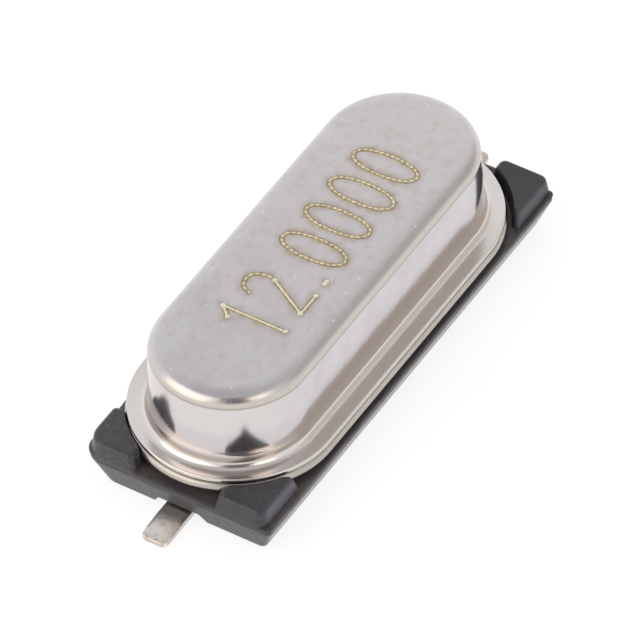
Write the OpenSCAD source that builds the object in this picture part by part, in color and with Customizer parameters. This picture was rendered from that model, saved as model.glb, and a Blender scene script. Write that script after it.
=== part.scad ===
// Surface-mount quartz crystal unit in a low metal can, on a moulded insulator with two flattened leads.
// Frame: origin at the middle of the seating plane, +X along the length, +Z up through the can's top.
// Every length is in millimetres.

/* [Can] */
// Length of the drawn can, outside
can_l = 10.2; // [8:0.05:13]
// Width of the drawn can, outside
can_w = 3.53; // [2.9:0.01:4.5]
// Height of the can from the underside of its flange to its top
can_h = 2.03; // [1.65:0.01:3.5]
// Thickness of the can's sheet
can_sheet = 0.15; // [0.12:0.01:0.25]
// Radius round the can's top edge, outside
can_top_r = 0.33; // [0.27:0.01:0.6]
// Radius of the bend where the wall turns out into the flange
can_foot_r = 0.12; // [0.05:0.01:0.15]
// Width of the flange beyond the wall at each end
rim_end = 0.42; // [0.35:0.01:0.6]
// Width of the flange beyond the wall along each side
rim_side = 0.53; // [0.35:0.01:0.6]

/* [Header] */
// How far the header's edge stands out past the can's flange
header_lip = 0.015; // [0:0.005:0.05]
// Thickness of the header's flange
header_t = 0.22; // [0.15:0.01:0.3]
// Height of the pad under the header that rests on the insulator
header_pad_t = 0.16; // [0.1:0.01:0.25]
// Distance from the header's edge in to that pad
header_pad_inset = 0.38; // [0.25:0.01:0.5]
// Height of the header's raised middle inside the can
header_boss_h = 0.35; // [0.2:0.01:0.5]
// Gap between the raised middle and the can's wall
header_boss_gap = 0.12; // [0.08:0.01:0.2]
// Diameter of each glass seal
seal_d = 1.3; // [1:0.05:1.6]

/* [Leads] */
// Distance between the two leads
lead_pitch = 4.88; // [4:0.01:6]
// Diameter of the lead wire
wire_d = 0.43; // [0.34:0.01:0.52]
// Radius of the bend under the insulator, to the wire's middle
bend_r = 0.35; // [0.28:0.01:0.45]
// Clear height under the round wire
wire_lift = 0.04; // [0.01:0.01:0.06]
// Length of the round wire between the bend and the flattened part
coin_start = 0.1; // [0.05:0.01:0.3]
// Length over which the wire is flattened
coin_ramp = 0.6; // [0.3:0.05:1]
// Width of the flattened foot
foot_w = 0.64; // [0.5:0.01:0.8]
// Thickness of the flattened foot
foot_t = 0.16; // [0.12:0.01:0.2]
// How far each foot stands out past the insulator
foot_out = 0.85; // [0.5:0.05:1.2]
// Radius of the foot's corners at its tip
foot_tip_r = 0.14; // [0.05:0.01:0.2]
// Height of the wire above the header, up to its head
wire_rise = 0.15; // [0.08:0.01:0.3]
// Diameter of the head on the wire's inner end
head_d = 0.8; // [0.65:0.01:1]
// Thickness of that head
head_t = 0.1; // [0.06:0.01:0.15]

/* [Insulator] */
// Margin between the header's edge and the insulator's end
tray_margin_end = 0.165; // [0.1:0.005:0.4]
// Margin between the header's edge and the insulator's side
tray_margin_side = 0.035; // [0.03:0.005:0.3]
// Thickness of the insulator's floor
tray_t = 0.78; // [0.7:0.01:1]
// Gap between the insulator's underside and the seating plane
standoff = 0.05; // [0.02:0.01:0.1]
// Upright edge below the ledge, before the wall slopes in
tray_band = 0.14; // [0.08:0.01:0.3]
// How far each end slopes in at the underside
tray_slope_end = 0.2; // [0.05:0.01:0.3]
// How far each side slopes in at the underside
tray_slope_side = 0.28; // [0.05:0.01:0.4]
// Radius of the two corners at -Y, seen from above
tray_corner_r = 0.12; // [0.08:0.01:0.4]
// Radius of the two corners at +Y, seen from above
tray_round_r = 0.42; // [0.08:0.01:0.5]
// Height of the corner posts above the floor
post_h = 0.4; // [0.2:0.01:0.6]
// Length of each post's leg across the end
post_leg_end = 1.15; // [0.9:0.05:1.6]
// Length of each post's leg along the side
post_leg_side = 1.15; // [0.9:0.05:1.6]
// Ledge left outside each post at the end
post_ledge_end = 0.05; // [0.02:0.01:0.1]
// Ledge left outside each post along the side
post_ledge_side = 0.14; // [0.05:0.01:0.2]
// How far a post's outer faces lean in over its height
post_draft = 0.05; // [0.02:0.01:0.1]
// How far the ends of a post's legs lean back over its height
post_end_slope = 0.12; // [0.05:0.01:0.2]
// Gap between the posts and the header's edge
post_gap = 0.08; // [0.05:0.01:0.15]
// Clearance over a foot in its groove
groove_clear = 0.04; // [0.02:0.01:0.1]
// Clearance on each side of a foot at the groove's ceiling
groove_side = 0.19; // [0.1:0.01:0.3]
// How far each side of the groove opens out below its ceiling
groove_flare = 0.175; // [0.05:0.005:0.25]
// Clearance round the wire in its hole
hole_clear = 0.1; // [0.05:0.01:0.2]

/* [Crystal] */
// Gap between the quartz blank's ends and the can
blank_end_gap = 0.95; // [0.7:0.05:1.2]
// Width of the quartz blank
blank_w = 1.9; // [1.5:0.05:2.2]
// Thickness of the quartz blank
blank_t = 0.14; // [0.1:0.01:0.3]
// Length of each electrode's main field
electrode_l = 4.4; // [3.5:0.1:5]
// Width of each electrode's main field
electrode_w = 1.5; // [1:0.05:1.8]
// Width of the tab that leads an electrode to its end
electrode_tab_w = 0.8; // [0.5:0.05:1]
// Thickness of the electrode film
electrode_t = 0.01; // [0.005:0.005:0.02]
// Thickness of the spring clips' strip
clip_t = 0.08; // [0.05:0.01:0.12]
// Width of the spring clips
clip_w = 1.1; // [0.9:0.05:1.4]
// Height of the clip's step from the head up to its shelf
clip_step = 0.14; // [0.1:0.01:0.25]
// Length of the blank that lies on each shelf
clip_shelf = 0.4; // [0.3:0.05:0.6]
// Length of the ears beside the shelf
clip_ear_l = 0.3; // [0.2:0.05:0.3]
// Gap between an ear and the blank's side
clip_ear_gap = 0.03; // [0.01:0.01:0.1]
// Diameter of the dot of conductive adhesive
dot_d = 0.7; // [0.5:0.05:0.9]
// How far the dot stands above the blank
dot_rise = 0.05; // [0.02:0.01:0.1]

/* [Hidden] */
$fn = 96;
// Overrun of cutting shapes past the faces that they cut
over = 0.5;

// Outlines seen from above
flange_l = can_l + 2 * rim_end;
flange_w = can_w + 2 * rim_side;
header_l = flange_l + 2 * header_lip;
header_w = flange_w + 2 * header_lip;
tray_l = header_l + 2 * tray_margin_end;
tray_w = header_w + 2 * tray_margin_side;
foot_x = tray_l / 2 + foot_out;
blank_l = can_l - 2 * (can_sheet + blank_end_gap);
pin_x = lead_pitch / 2;

// Levels above the seating plane
tray_z = standoff + tray_t;
lip_z = tray_z + header_pad_t;
seam_z = lip_z + header_t;
boss_z = seam_z + header_boss_h;
wire_z = wire_d / 2 + wire_lift;
head_z = boss_z + wire_rise;
clip_z = head_z + head_t;
shelf_z = clip_z + clip_step;
lower_film_z = shelf_z + clip_t;
blank_z = lower_film_z + electrode_t;
upper_film_z = blank_z + blank_t;
groove_z = foot_t + groove_clear;
pocket_z = wire_z + wire_d / 2 + groove_clear;

// Where the wire starts and ends being flattened
coin_x0 = pin_x + bend_r + coin_start;
coin_x1 = coin_x0 + coin_ramp;

// A round-ended outline, w wide and l long, raised by h.
module stadium(l, w, h) {
    linear_extrude(h) {
        square([l - w, w], center = true);
        for (side = [-1, 1])
            translate([side * (l - w) / 2, 0]) circle(d = w);
    }
}

// Sweeps a half section, drawn from the middle outwards, round a core line of the given length.
module stadium_sweep(core) {
    for (turn = [0, 180])
        rotate([0, 0, turn]) translate([core / 2, 0, 0]) rotate([0, 0, -90]) rotate_extrude(angle = 180)
            children();
    for (turn = [0, 180])
        rotate([0, 0, turn]) rotate([90, 0, 90]) linear_extrude(core, center = true) children();
}

// Half section of a round-cornered cup, r wide and h high, with a corner radius of c.
module cup_section(r, h, c) {
    square([r - c, h]);
    square([r, h - c]);
    translate([r - c, h - c]) intersection() {
        circle(c);
        square(c);
    }
}

// Fills the inside corner between a wall and a flange with a bend of radius c.
module bend_section(c) {
    difference() {
        square(c);
        translate([c, c]) circle(c);
    }
}

// Copies a piece made for the right-hand end to the left-hand end.
module left_hand() {
    rotate([0, 0, 180]) children();
}

module can() {
    inner_w = can_w - 2 * can_sheet;
    inner_bend = can_foot_r + can_sheet;
    color("#c9c6c1") difference() {
        union() {
            translate([0, 0, seam_z]) stadium(flange_l, flange_w, can_sheet);
            translate([0, 0, seam_z]) stadium_sweep(can_l - can_w) {
                cup_section(can_w / 2, can_h, can_top_r);
                translate([can_w / 2, can_sheet]) bend_section(can_foot_r);
            }
        }
        translate([0, 0, seam_z]) stadium_sweep(can_l - can_w) {
            cup_section(inner_w / 2, can_h - can_sheet, can_top_r - can_sheet);
            translate([inner_w / 2, 0]) bend_section(inner_bend);
        }
        translate([0, 0, seam_z - over]) stadium(can_l - 2 * can_sheet, inner_w, 2 * over);
    }
}

module header() {
    pad_l = header_l - 2 * header_pad_inset;
    pad_w = header_w - 2 * header_pad_inset;
    boss_inset = 2 * (can_sheet + header_boss_gap);
    color("#b9b5ad") difference() {
        union() {
            translate([0, 0, tray_z]) stadium(pad_l, pad_w, header_pad_t);
            translate([0, 0, lip_z]) stadium(header_l, header_w, header_t);
            translate([0, 0, seam_z]) stadium(can_l - boss_inset, can_w - boss_inset, header_boss_h);
        }
        for (side = [-1, 1])
            translate([side * pin_x, 0, tray_z - over])
                cylinder(d = seal_d, h = boss_z - tray_z + 2 * over);
    }
}

module glass_seal() {
    color("#3c5a6a") translate([pin_x, 0, tray_z]) difference() {
        cylinder(d = seal_d, h = boss_z - tray_z);
        translate([0, 0, -over]) cylinder(d = wire_d, h = boss_z - tray_z + 2 * over);
    }
}

// Round wire with a head inside the can, bent outwards below and flattened into a foot.
module lead() {
    color("#b3b1ac") {
        translate([pin_x, 0, head_z]) cylinder(d = head_d, h = head_t);
        translate([pin_x, 0, wire_z + bend_r]) cylinder(d = wire_d, h = head_z - wire_z - bend_r);
        translate([pin_x + bend_r, 0, wire_z + bend_r]) rotate([90, 180, 0])
            rotate_extrude(angle = 90) translate([bend_r, 0]) circle(d = wire_d);
        translate([pin_x + bend_r, 0, wire_z]) rotate([0, 90, 0]) cylinder(d = wire_d, h = coin_start);
        lead_coin();
        lead_foot();
    }
}

// The stretch where the wire passes from round to flat.
module lead_coin() {
    slice = 0.02;
    hull() {
        translate([coin_x0 - slice, 0, wire_z]) rotate([0, 90, 0]) cylinder(d = wire_d, h = slice, $fn = 32);
        translate([coin_x1, -foot_w / 2, 0]) cube([slice, foot_w, foot_t]);
    }
}

module lead_foot() {
    tip_x = foot_x - foot_tip_r;
    linear_extrude(foot_t) {
        translate([coin_x1, -foot_w / 2]) square([tip_x - coin_x1, foot_w]);
        translate([tip_x, -foot_w / 2 + foot_tip_r]) square([foot_tip_r, foot_w - 2 * foot_tip_r]);
        for (side = [-1, 1])
            translate([tip_x, side * (foot_w / 2 - foot_tip_r)]) circle(foot_tip_r);
    }
}

// Folded strip: a tab on the lead's head, a step up, and a shelf whose two ears hold the blank's end.
module spring_clip() {
    blank_end = blank_l / 2;
    step_x = blank_end - clip_shelf - clip_t;
    tab_x0 = pin_x - head_d / 2;
    ear_h = blank_z + blank_t - shelf_z;
    color("#b08d57") {
        translate([tab_x0, -clip_w / 2, clip_z]) cube([step_x + clip_t - tab_x0, clip_w, clip_t]);
        translate([step_x, -clip_w / 2, clip_z]) cube([clip_t, clip_w, clip_step + clip_t]);
        translate([step_x, -clip_w / 2, shelf_z]) cube([blank_end + clip_t - step_x, clip_w, clip_t]);
        for (side = [0, 1])
            mirror([0, side, 0]) translate([blank_end - clip_ear_l, 0, shelf_z]) {
                cube([clip_ear_l, blank_w / 2 + clip_ear_gap + clip_t, clip_t]);
                translate([0, blank_w / 2 + clip_ear_gap, 0]) cube([clip_ear_l, clip_t, ear_h]);
            }
    }
}

module quartz_blank() {
    color("#d9e6ea") translate([-blank_l / 2, -blank_w / 2, blank_z]) cube([blank_l, blank_w, blank_t]);
}

// Film with a tab that runs to the right-hand end of the blank.
module electrode(z) {
    color("#dfe1e2") translate([0, 0, z]) linear_extrude(electrode_t) {
        square([electrode_l, electrode_w], center = true);
        translate([0, -electrode_tab_w / 2]) square([blank_l / 2, electrode_tab_w]);
    }
}

module electrode_upper() {
    electrode(upper_film_z);
}

module electrode_lower() {
    left_hand() electrode(lower_film_z);
}

// Dot of conductive adhesive over the end of the blank and round its film, down to the clip's shelf.
module adhesive(film_z) {
    color("#a9a9a4") difference() {
        translate([blank_l / 2 - dot_d / 4, 0, lower_film_z]) intersection() {
            cylinder(d = dot_d, h = upper_film_z + dot_rise - lower_film_z);
            translate([-dot_d, -dot_d, 0]) cube([dot_d + dot_d / 4 + clip_t, 2 * dot_d, dot_d]);
        }
        quartz_blank();
        electrode(film_z);
    }
}

module adhesive_left() {
    left_hand() adhesive(lower_film_z);
}

module adhesive_right() {
    adhesive(upper_film_z);
}

// One corner post, for the corner at +X and +Y, with an outer corner of radius r.
module post(r) {
    x0 = tray_l / 2 - post_ledge_end;
    y0 = tray_w / 2 - post_ledge_side;
    foot = tray_z - tray_band;
    top = tray_z + post_h;
    intersection() {
        translate([0, tray_w, 0]) rotate([90, 0, 0]) linear_extrude(tray_w) polygon([
            [x0 - post_leg_side - post_end_slope, foot], [x0, foot], [x0, tray_z],
            [x0 - post_draft, top], [x0 - post_leg_side, top],
            [x0 - post_leg_side - post_end_slope, tray_z]
        ]);
        rotate([90, 0, 90]) linear_extrude(tray_l) polygon([
            [y0 - post_leg_end - post_end_slope, foot], [y0, foot], [y0, tray_z],
            [y0 - post_draft, top], [y0 - post_leg_end, top],
            [y0 - post_leg_end - post_end_slope, tray_z]
        ]);
        translate([0, 0, foot]) linear_extrude(top - foot) {
            square([x0 - r, y0]);
            square([x0, y0 - r]);
            translate([x0 - r, y0 - r]) circle(r);
        }
    }
}

// The moulding's outside: upright edge, then walls that slope in to the underside.
module tray_block() {
    x0 = tray_l / 2;
    y0 = tray_w / 2;
    band = tray_z - tray_band;
    intersection() {
        translate([0, y0, 0]) rotate([90, 0, 0]) linear_extrude(tray_w) polygon([
            [x0 - tray_slope_end, standoff], [x0, band], [x0, tray_z],
            [-x0, tray_z], [-x0, band], [-x0 + tray_slope_end, standoff]
        ]);
        translate([-x0, 0, 0]) rotate([90, 0, 90]) linear_extrude(tray_l) polygon([
            [y0 - tray_slope_side, standoff], [y0, band], [y0, tray_z],
            [-y0, tray_z], [-y0, band], [-y0 + tray_slope_side, standoff]
        ]);
        linear_extrude(tray_z)
            for (half = [[1, tray_round_r], [-1, tray_corner_r]]) {
                side = half[0];
                r = half[1];
                translate([0, side * (y0 - r) / 2]) square([tray_l, y0 - r], center = true);
                translate([0, side * (y0 - r / 2)]) square([tray_l - 2 * r, r], center = true);
                for (end = [-1, 1])
                    translate([end * (x0 - r), side * (y0 - r)]) circle(r);
            }
    }
}

// Groove in the underside for one foot, with a deeper pocket round the bend and a hole for the wire.
module lead_groove() {
    half = foot_w / 2 + groove_side;
    drop = groove_z - standoff;
    pocket_x0 = pin_x - wire_d / 2 - hole_clear;
    rotate([90, 0, 90]) translate([0, 0, pocket_x0]) linear_extrude(foot_x - pocket_x0) polygon([
        [-half, groove_z], [half, groove_z], [half + groove_flare, standoff],
        [half + groove_flare, standoff - drop], [-half - groove_flare, standoff - drop],
        [-half - groove_flare, standoff]
    ]);
    translate([pocket_x0, -half, 0]) cube([coin_x1 - pocket_x0, 2 * half, pocket_z]);
    translate([pin_x, 0, 0]) cylinder(d = wire_d + 2 * hole_clear, h = tray_z + over);
}

module insulator() {
    color("#3f3f44") difference() {
        union() {
            tray_block();
            difference() {
                for (end = [0, 1]) mirror([end, 0, 0]) {
                    post(tray_round_r - post_ledge_side);
                    mirror([0, 1, 0]) post(tray_corner_r);
                }
                translate([0, 0, tray_z])
                    stadium(header_l + 2 * post_gap, header_w + 2 * post_gap, post_h + over);
            }
        }
        lead_groove();
        left_hand() lead_groove();
    }
}

insulator();
header();
left_hand() glass_seal();  // glass_seal_left
glass_seal();  // glass_seal_right
left_hand() lead();  // lead_left
lead();  // lead_right
left_hand() spring_clip();  // spring_clip_left
spring_clip();  // spring_clip_right
quartz_blank();
electrode_upper();
electrode_lower();
adhesive_left();
adhesive_right();
can();
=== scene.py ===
import math

import bmesh
import bpy
from mathutils import Matrix, Vector, noise
from mathutils.kdtree import KDTree


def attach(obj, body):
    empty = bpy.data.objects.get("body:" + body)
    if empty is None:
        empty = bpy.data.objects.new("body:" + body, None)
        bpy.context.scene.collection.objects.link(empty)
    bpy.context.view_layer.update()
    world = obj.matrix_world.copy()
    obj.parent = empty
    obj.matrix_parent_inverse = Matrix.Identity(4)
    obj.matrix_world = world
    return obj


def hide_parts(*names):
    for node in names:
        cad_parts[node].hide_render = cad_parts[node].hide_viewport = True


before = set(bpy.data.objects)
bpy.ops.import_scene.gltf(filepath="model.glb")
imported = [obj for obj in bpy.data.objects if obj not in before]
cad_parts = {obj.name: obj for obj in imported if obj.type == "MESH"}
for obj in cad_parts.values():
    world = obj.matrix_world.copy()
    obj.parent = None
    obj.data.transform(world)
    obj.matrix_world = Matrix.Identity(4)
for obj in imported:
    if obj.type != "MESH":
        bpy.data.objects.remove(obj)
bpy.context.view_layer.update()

# ---------------------------------------------------------------------------
# Insulator
# The charcoal carrier under the metal case, injection moulded in a glass-filled
# liquid crystal polymer. Four corner posts stand round the case's flange, and two
# grooves in the underside let the flattened leads out at the ends.
# ---------------------------------------------------------------------------

MM = 0.001  # pieces are drawn in millimetres and brought to metres when they are finished
SLIVER = 3e-4  # edges shorter than this are closed up

TRAY_HALF_LENGTH, TRAY_HALF_WIDTH = 5.7, 2.345
TRAY_SLOPE_END, TRAY_SLOPE_SIDE = 0.2, 0.262  # the walls run in by this much towards the foot
TRAY_FOOT_Z, TRAY_BAND_Z, TRAY_TOP_Z = 0.05, 0.69, 0.83
TRAY_CORNERS = (0.12, 0.42, 0.42, 0.12)  # radii, from the +X -Y corner on
TRAY_EDGE = 0.035
FLASH = 0.02  # the rough burr round the top of the tray
LEFT_SIDE = 0.07  # the +Y side lies this much further in

POST_FACE_X, POST_FACE_Y = 5.69, 2.205
POST_TOP_Z, POST_LEG, POST_LEAN, POST_END_SLOPE = 1.23, 1.15, 0.05, 0.12
POST_EDGE, POST_CORNER, POST_OUTER_CORNER = 0.09, 0.13, 0.08
SEAT_CORE, SEAT_REACH, SEAT_EDGE = 3.225, 2.335, 0.1  # the hollow sides, which follow the flange
NEAR_LEG = 0.12  # the post at -X -Y has a longer leg

# The moulding is longer at the +X end: its wall, its posts, their faces and legs, and their sloped seats.
FAR_END, FAR_POST, FAR_FACE_X, FAR_FACE_Y, FAR_LEG = 0.1, 0.125, 0.03, 0.04, 0.0125
FAR_SLOPE, FAR_SEAT_EDGE = 0.05, 0.4

GROOVE_HALF, GROOVE_FLARE, GROOVE_Z, GROOVE_CORNER = 0.51, 0.175, 0.275, 0.07
NARROW_HALF, NARROW_FLARE = 0.48, 0.105  # the grooves' tighter side
POCKET_X0, POCKET_X1, POCKET_Z, POCKET_CORNER = 2.125, 3.49, 0.51, 0.08
LEAD_X, WIRE_HOLE_R = 2.44, 0.315
CUT_X, CUT_Z = 7.0, -0.1  # the cutters run out past the end wall and the foot


def uneven(point, lump, seed=0):
    """Smooth uneven value from -1 to 1 at a point, with lumps of the given size in millimetres."""
    return noise.noise(Vector(point) / lump + Vector((17.3 * seed, 0, 0)))


def soften(corners, radii, steps):
    """Rounds each corner of a flat outline by its own radius, where there is room; 0 leaves it sharp."""
    rounded = []
    for i, (corner, radius) in enumerate(zip(corners, radii)):
        here = Vector(corner)
        if not radius:
            rounded.append(here)
            continue
        back = Vector(corners[i - 1]) - here
        ahead = Vector(corners[(i + 1) % len(corners)]) - here
        half = back.angle(ahead) / 2
        radius = min(radius, 0.45 * min(back.length, ahead.length) * math.tan(half))
        back, ahead = back.normalized(), ahead.normalized()
        centre = here + (back + ahead).normalized() * (radius / math.sin(half))
        start = here + back * (radius / math.tan(half)) - centre
        end = here + ahead * (radius / math.tan(half)) - centre
        first = math.atan2(start.y, start.x)
        sweep = math.remainder(math.atan2(end.y, end.x) - first, math.tau)
        for step in range(steps + 1):
            turn = first + sweep * step / steps
            rounded.append(centre + radius * Vector((math.cos(turn), math.sin(turn))))
    return rounded


def subdivided(outline, counts):
    """Splits each side of an outline into the given number of equal parts."""
    points = []
    for i, (start, count) in enumerate(zip(outline, counts)):
        end = outline[(i + 1) % len(outline)]
        points += [start.lerp(end, k / count) for k in range(count)]
    return points


def skin(name, loops, capped=True):
    """Closed solid in millimetres through loops of points, each anticlockwise as seen from the last one.
    Its map holds the distance round the widest loop and up the first column, in millimetres."""
    count = len(loops[0])
    rounds = [[0.0] for loop in loops]
    for lengths, loop in zip(rounds, loops):
        for i in range(count):
            lengths.append(lengths[-1] + (Vector(loop[(i + 1) % count]) - Vector(loop[i])).length)
    around = max(rounds, key=lambda lengths: lengths[-1])
    along = [0.0]
    for low, high in zip(loops, loops[1:]):
        along.append(along[-1] + (Vector(high[0]) - Vector(low[0])).length)
    shape = bmesh.new()
    wrap = shape.loops.layers.uv.new("wrap")
    rows = [[shape.verts.new(point) for point in loop] for loop in loops]
    for level, (low, high) in enumerate(zip(rows, rows[1:])):
        for i in range(count):
            j = (i + 1) % count
            face = shape.faces.new((low[i], low[j], high[j], high[i]))
            places = ((i, level), (i + 1, level), (i + 1, level + 1), (i, level + 1))
            for corner, (column, row) in zip(face.loops, places):
                corner[wrap].uv = (around[column], along[row])
    for cap in (list(reversed(rows[0])), rows[-1]) if capped else ():
        for corner in shape.faces.new(cap).loops:
            corner[wrap].uv = corner.vert.co.xy
    bmesh.ops.remove_doubles(shape, verts=shape.verts, dist=1e-5)
    mesh = bpy.data.meshes.new(name)
    shape.to_mesh(mesh)
    shape.free()
    piece = bpy.data.objects.new(name, mesh)
    bpy.context.scene.collection.objects.link(piece)
    return piece


def settle(piece):
    """Works a piece's modifiers into its mesh."""
    bpy.context.view_layer.update()
    worked = piece.evaluated_get(bpy.context.evaluated_depsgraph_get())
    mesh = bpy.data.meshes.new_from_object(worked)
    piece.modifiers.clear()
    piece.data = mesh


def combine(piece, operation, *solids):
    """Joins solids to a piece or cuts them out of it, uses them up, and clears slivers from the seams."""
    for solid in solids:
        step = piece.modifiers.new(operation, "BOOLEAN")
        step.operation = operation
        step.solver = "EXACT"
        step.object = solid
        settle(piece)
        bpy.data.objects.remove(solid)
    shape = bmesh.new()
    shape.from_mesh(piece.data)
    bmesh.ops.dissolve_degenerate(shape, dist=SLIVER, edges=shape.edges)
    shape.to_mesh(piece.data)
    shape.free()


def turned(loops):
    """Loops for the other end: turned half way round the upright axis."""
    return [[(-x, -y, z) for x, y, z in loop] for loop in loops]


def finish_piece(piece, material, crease):
    """Smooths a piece up to a crease angle, keeps its flats flat, and brings it to metres."""
    piece.data.shade_smooth()
    piece.data.set_sharp_from_angle(angle=math.radians(crease))
    flats = piece.modifiers.new("flats", "WEIGHTED_NORMAL")
    flats.keep_sharp = True
    settle(piece)
    piece.data.transform(Matrix.Scale(MM, 4))
    piece.data.materials.clear()
    piece.data.materials.append(material)
    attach(piece, "root")


def tray_loop(half_length, half_width, z, flash=0.0):
    """One level of the moulding's outline, from its +X -Y corner on, pushed out unevenly by the flash."""
    box = [(half_length, -half_width), (half_length, half_width)]
    box += [(-half_length, half_width), (-half_length, -half_width)]
    arcs = soften(box, TRAY_CORNERS, 8)
    outline = subdivided(arcs, ([1] * 8 + [40] + [1] * 8 + [96]) * 2)
    points = []
    for i, point in enumerate(outline):
        run = outline[(i + 1) % len(outline)] - outline[i - 1]
        outward = Vector((run.y, -run.x)).normalized()
        push = flash * (0.6 * uneven((*point, 0), 0.5) + 0.4 * uneven((*point, 0), 0.16, 1))
        stretch = Vector((FAR_END if point.x > 3 else 0.0, -LEFT_SIDE if point.y > 1 else 0.0))
        points.append((*(point + stretch + outward * push), z))
    return points


tray_loops = []
for turn in (0, 30, 60, 90):
    inset = TRAY_EDGE * (1 - math.sin(math.radians(turn)))
    rise = TRAY_EDGE * (1 - math.cos(math.radians(turn)))
    foot_length = TRAY_HALF_LENGTH - TRAY_SLOPE_END - inset
    foot_width = TRAY_HALF_WIDTH - TRAY_SLOPE_SIDE - inset
    tray_loops.append(tray_loop(foot_length, foot_width, TRAY_FOOT_Z + rise))
for drop, inset, flash in (
    (TRAY_TOP_Z - TRAY_BAND_Z + 0.02, 0.022, 0.0),
    (TRAY_TOP_Z - TRAY_BAND_Z - 0.02, FLASH, 0.0),
    (0.045, FLASH, 0.3 * FLASH),
    (0.03, 0.4 * FLASH, FLASH),
    (0.012, 0.6 * FLASH, FLASH),
    (0.002, 2.0 * FLASH, 0.5 * FLASH),
    (0.0, 3.5 * FLASH, 0.0),
):
    half = (TRAY_HALF_LENGTH - inset, TRAY_HALF_WIDTH - inset)
    tray_loops.append(tray_loop(*half, TRAY_TOP_Z - drop, flash))
insulator = skin("insulator_moulding", tray_loops)


def post_loop(side_x, side_y, z, inset):
    """One level of a corner post: two legs round the corner, and a hollow side that follows the flange."""
    up = max(0.0, (z - TRAY_TOP_Z) / (POST_TOP_Z - TRAY_TOP_Z))
    face_x = POST_FACE_X - POST_LEAN * up - inset
    face_y = POST_FACE_Y - POST_LEAN * up - inset
    end_x = POST_FACE_X - POST_LEG - POST_END_SLOPE * (1 - up) + inset
    end_y = POST_FACE_Y - POST_LEG - POST_END_SLOPE * (1 - up) + inset
    core, reach = SEAT_CORE, SEAT_REACH - SEAT_EDGE * inset
    if side_x > 0:
        face_x += FAR_POST + FAR_FACE_X
        face_y += FAR_FACE_Y
        end_x += FAR_LEG
        core += FAR_POST
        reach += FAR_SLOPE * up + FAR_SEAT_EDGE * inset
    elif side_y < 0:
        end_x -= NEAR_LEG
    first = math.acos((end_x - core) / reach)
    last = math.asin(end_y / reach)
    corners = [(face_x, end_y), (face_x, face_y), (end_x, face_y)]
    for step in range(11):
        turn = first + (last - first) * step / 10
        corners.append((core + reach * math.cos(turn), reach * math.sin(turn)))
    outer = (TRAY_CORNERS[1] if side_y > 0 else TRAY_CORNERS[0] + POST_OUTER_CORNER) - inset
    soft = POST_CORNER - 0.6 * inset
    outline = soften(corners, [soft, outer, soft, soft] + [0] * 9 + [soft], 5)
    loop = [(side_x * x, side_y * y, z) for x, y in outline]
    return loop if side_x * side_y > 0 else loop[::-1]


posts = []
for side_x, side_y in ((1, 1), (-1, 1), (-1, -1), (1, -1)):
    post_loops = [post_loop(side_x, side_y, TRAY_TOP_Z - sunk, 0.0) for sunk in (0.1, 0.003)]
    for turn in (0, 15, 30, 45, 60, 75, 90):
        inset = POST_EDGE * (1 - math.cos(math.radians(turn)))
        drop = POST_EDGE * (1 - math.sin(math.radians(turn)))
        post_loops.append(post_loop(side_x, side_y, POST_TOP_Z - drop, inset))
    posts.append(skin("post", post_loops))
combine(insulator, "UNION", *posts)

mouth = [(-GROOVE_HALF - NARROW_FLARE, CUT_Z), (GROOVE_HALF + GROOVE_FLARE, CUT_Z)]
mouth += [(GROOVE_HALF + GROOVE_FLARE, TRAY_FOOT_Z), (GROOVE_HALF, GROOVE_Z)]
mouth += [(-NARROW_HALF, GROOVE_Z), (-GROOVE_HALF - NARROW_FLARE, TRAY_FOOT_Z)]
mouth = soften(mouth, (0, 0, 0, GROOVE_CORNER, GROOVE_CORNER, 0), 5)
pocket = [(-GROOVE_HALF, CUT_Z), (GROOVE_HALF, CUT_Z), (GROOVE_HALF, POCKET_Z), (-GROOVE_HALF, POCKET_Z)]
pocket = soften(pocket, (0, 0, POCKET_CORNER, POCKET_CORNER), 4)
groove_loops = [[(x, y, z) for y, z in mouth] for x in (POCKET_X0, CUT_X)]
pocket_loops = [[(x, y, z) for y, z in pocket] for x in (POCKET_X0, POCKET_X1)]


def bore_loops(radius, low, high, steps):
    """An upright round cutter on a lead's line."""
    ring = [math.tau * step / steps for step in range(steps)]
    return [[(LEAD_X + radius * math.cos(a), radius * math.sin(a), z) for a in ring] for z in (low, high)]


for loops in (groove_loops, pocket_loops, bore_loops(WIRE_HOLE_R, 0.1, 1.5, 36)):
    combine(insulator, "DIFFERENCE", skin("cutter", loops), skin("cutter", turned(loops)))


def tone(colour, alpha=1.0):
    """Linear colour of an sRGB hex value."""
    parts = [int(colour[i:i + 2], 16) / 255 for i in (1, 3, 5)]
    return (*[c / 12.92 if c <= 0.04045 else ((c + 0.055) / 1.055) ** 2.4 for c in parts], alpha)


def new_material(name):
    """A material with an empty node tree; returns both."""
    material = bpy.data.materials.new(name)
    material.use_nodes = True
    material.node_tree.nodes.clear()
    return material, material.node_tree


def add_node(tree, kind, inputs=None, **settings):
    """Adds a node, sets its properties, and gives each input a value or a link from a socket or node."""
    made = tree.nodes.new(kind)
    for name, value in settings.items():
        setattr(made, name, value)
    for name, value in (inputs or {}).items():
        if isinstance(name, int):
            socket = made.inputs[name]
        else:
            socket = next(s for s in made.inputs if s.name == name and s.enabled)
        if isinstance(value, bpy.types.Node):
            value = next(s for s in value.outputs if s.enabled)
        if isinstance(value, bpy.types.NodeSocket):
            tree.links.new(value, socket)
        else:
            socket.default_value = value
    return made


def per_mm(size):
    """Scale of a pattern in object space whose features are the given size in millimetres."""
    return 1 / (size * MM)


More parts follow.
